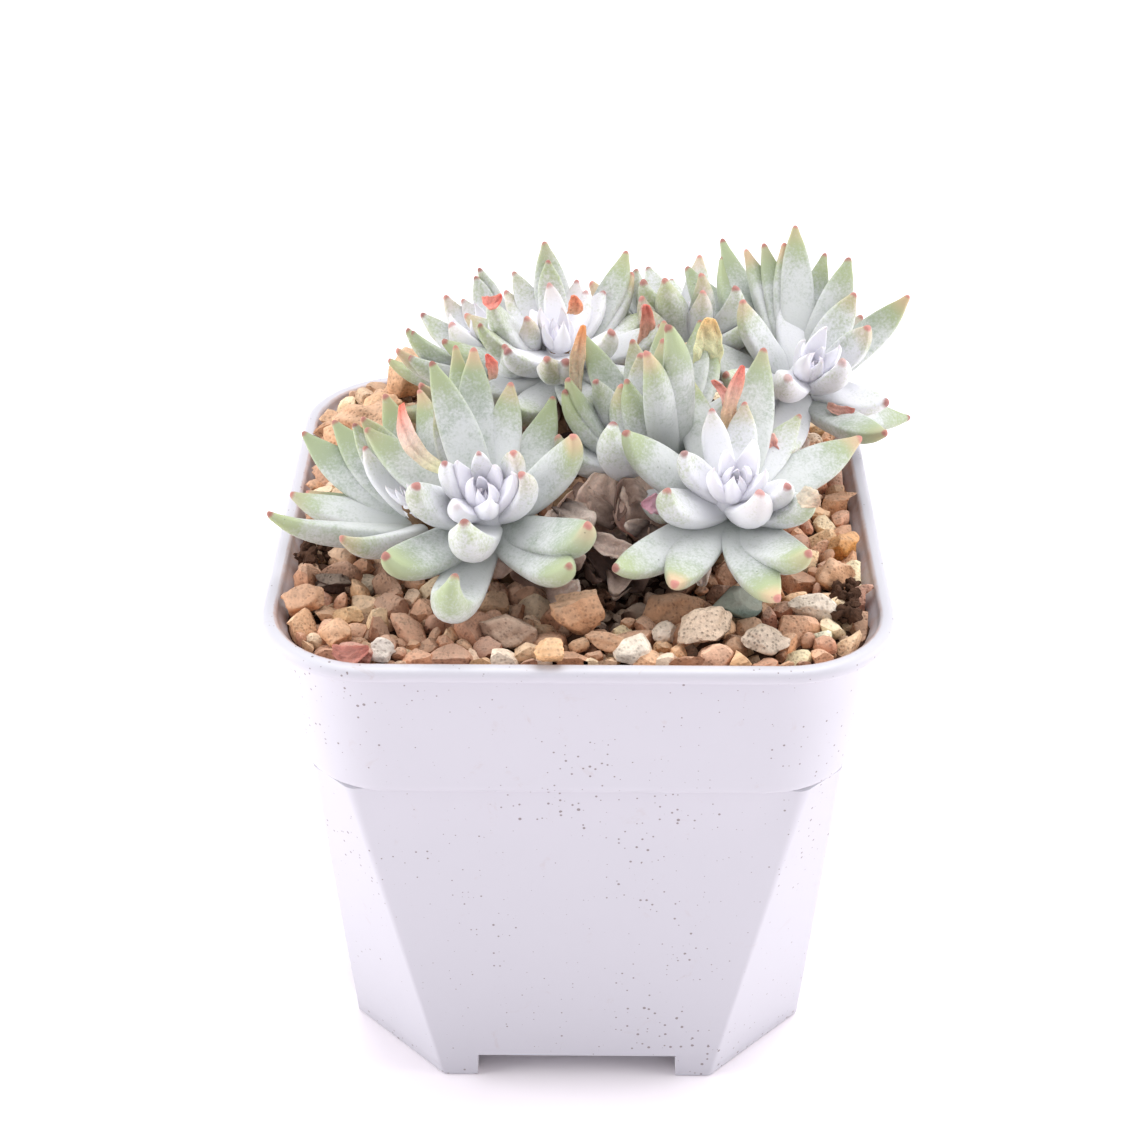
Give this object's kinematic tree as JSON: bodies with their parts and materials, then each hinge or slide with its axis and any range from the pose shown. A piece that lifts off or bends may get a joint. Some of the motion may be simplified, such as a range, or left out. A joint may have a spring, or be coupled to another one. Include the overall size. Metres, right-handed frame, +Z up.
{
  "type": "potted succulent",
  "caption": "Clump of powdery, lance-leaved rosettes in a square white nursery pot with a collar, corner feet and a clay-grain top dressing.",
  "frame": {"origin": "middle of the footprint, leaves included, on the surface that the pot's feet stand on", "axes": "+Z up along the pot's axis, which is the longest extent; -Y is the side the two front rosettes face, +X to its right"},
  "size_m": [0.099, 0.09, 0.115],
  "materials": {
    "white_plastic": "satin moulded polypropylene, white",
    "soil": "matt, dark crumbly potting soil",
    "akadama": "matt baked-clay grains, tan to orange",
    "pumice": "matt, porous pale pumice",
    "zeolite": "matt grey-green stone",
    "bark": "matt dark bark",
    "leaf": "fleshy grey-green leaf under a matt white bloom, red-pink point",
    "stem": "matt brown woody stem"
  },
  "bodies": {
    "root": {"back_left_crown": "leaf", "back_left_leaf_1": "leaf", "back_left_leaf_2": "leaf", "back_left_leaf_3": "leaf", "back_left_leaf_4": "leaf", "back_left_leaf_5": "leaf", "back_left_leaf_6": "leaf", "back_middle_crown": "leaf", "back_middle_leaf_1": "leaf", "back_middle_leaf_2": "leaf", "back_middle_leaf_3": "leaf", "back_right_crown": "leaf", "back_right_leaf_1": "leaf", "back_right_leaf_2": "leaf", "back_right_leaf_3": "leaf", "back_right_leaf_4": "leaf", "back_right_leaf_5": "leaf", "back_right_leaf_6": "leaf", "back_right_leaf_7": "leaf", "bark_chip": "bark", "clay_chunk_back": "akadama", "clay_chunk_front": "akadama", "clay_chunk_left": "akadama", "far_left_crown": "leaf", "far_left_leaf_1": "leaf", "far_left_leaf_2": "leaf", "far_left_leaf_3": "leaf", "far_left_leaf_4": "leaf", "front_left_crown": "leaf", "front_left_leaf_1": "leaf", "front_left_leaf_2": "leaf", "front_left_leaf_3": "leaf", "front_left_leaf_4": "leaf", "front_left_leaf_5": "leaf", "front_left_leaf_6": "leaf", "front_left_leaf_7": "leaf", "front_right_crown": "leaf", "front_right_leaf_1": "leaf", "front_right_leaf_2": "leaf", "front_right_leaf_3": "leaf", "front_right_leaf_4": "leaf", "front_right_leaf_5": "leaf", "front_right_leaf_6": "leaf", "front_right_leaf_7": "leaf", "gravel_bed": "akadama", "green_stone": "zeolite", "left_crown": "leaf", "left_leaf_1": "leaf", "left_leaf_2": "leaf", "left_leaf_3": "leaf", "left_leaf_4": "leaf", "middle_crown": "leaf", "middle_leaf_1": "leaf", "middle_leaf_2": "leaf", "middle_leaf_3": "leaf", "pot": "white_plastic", "potting_soil": "soil", "pumice_large": "pumice", "pumice_small": "pumice", "rootstock": "stem"}
  },
  "joints": []
}
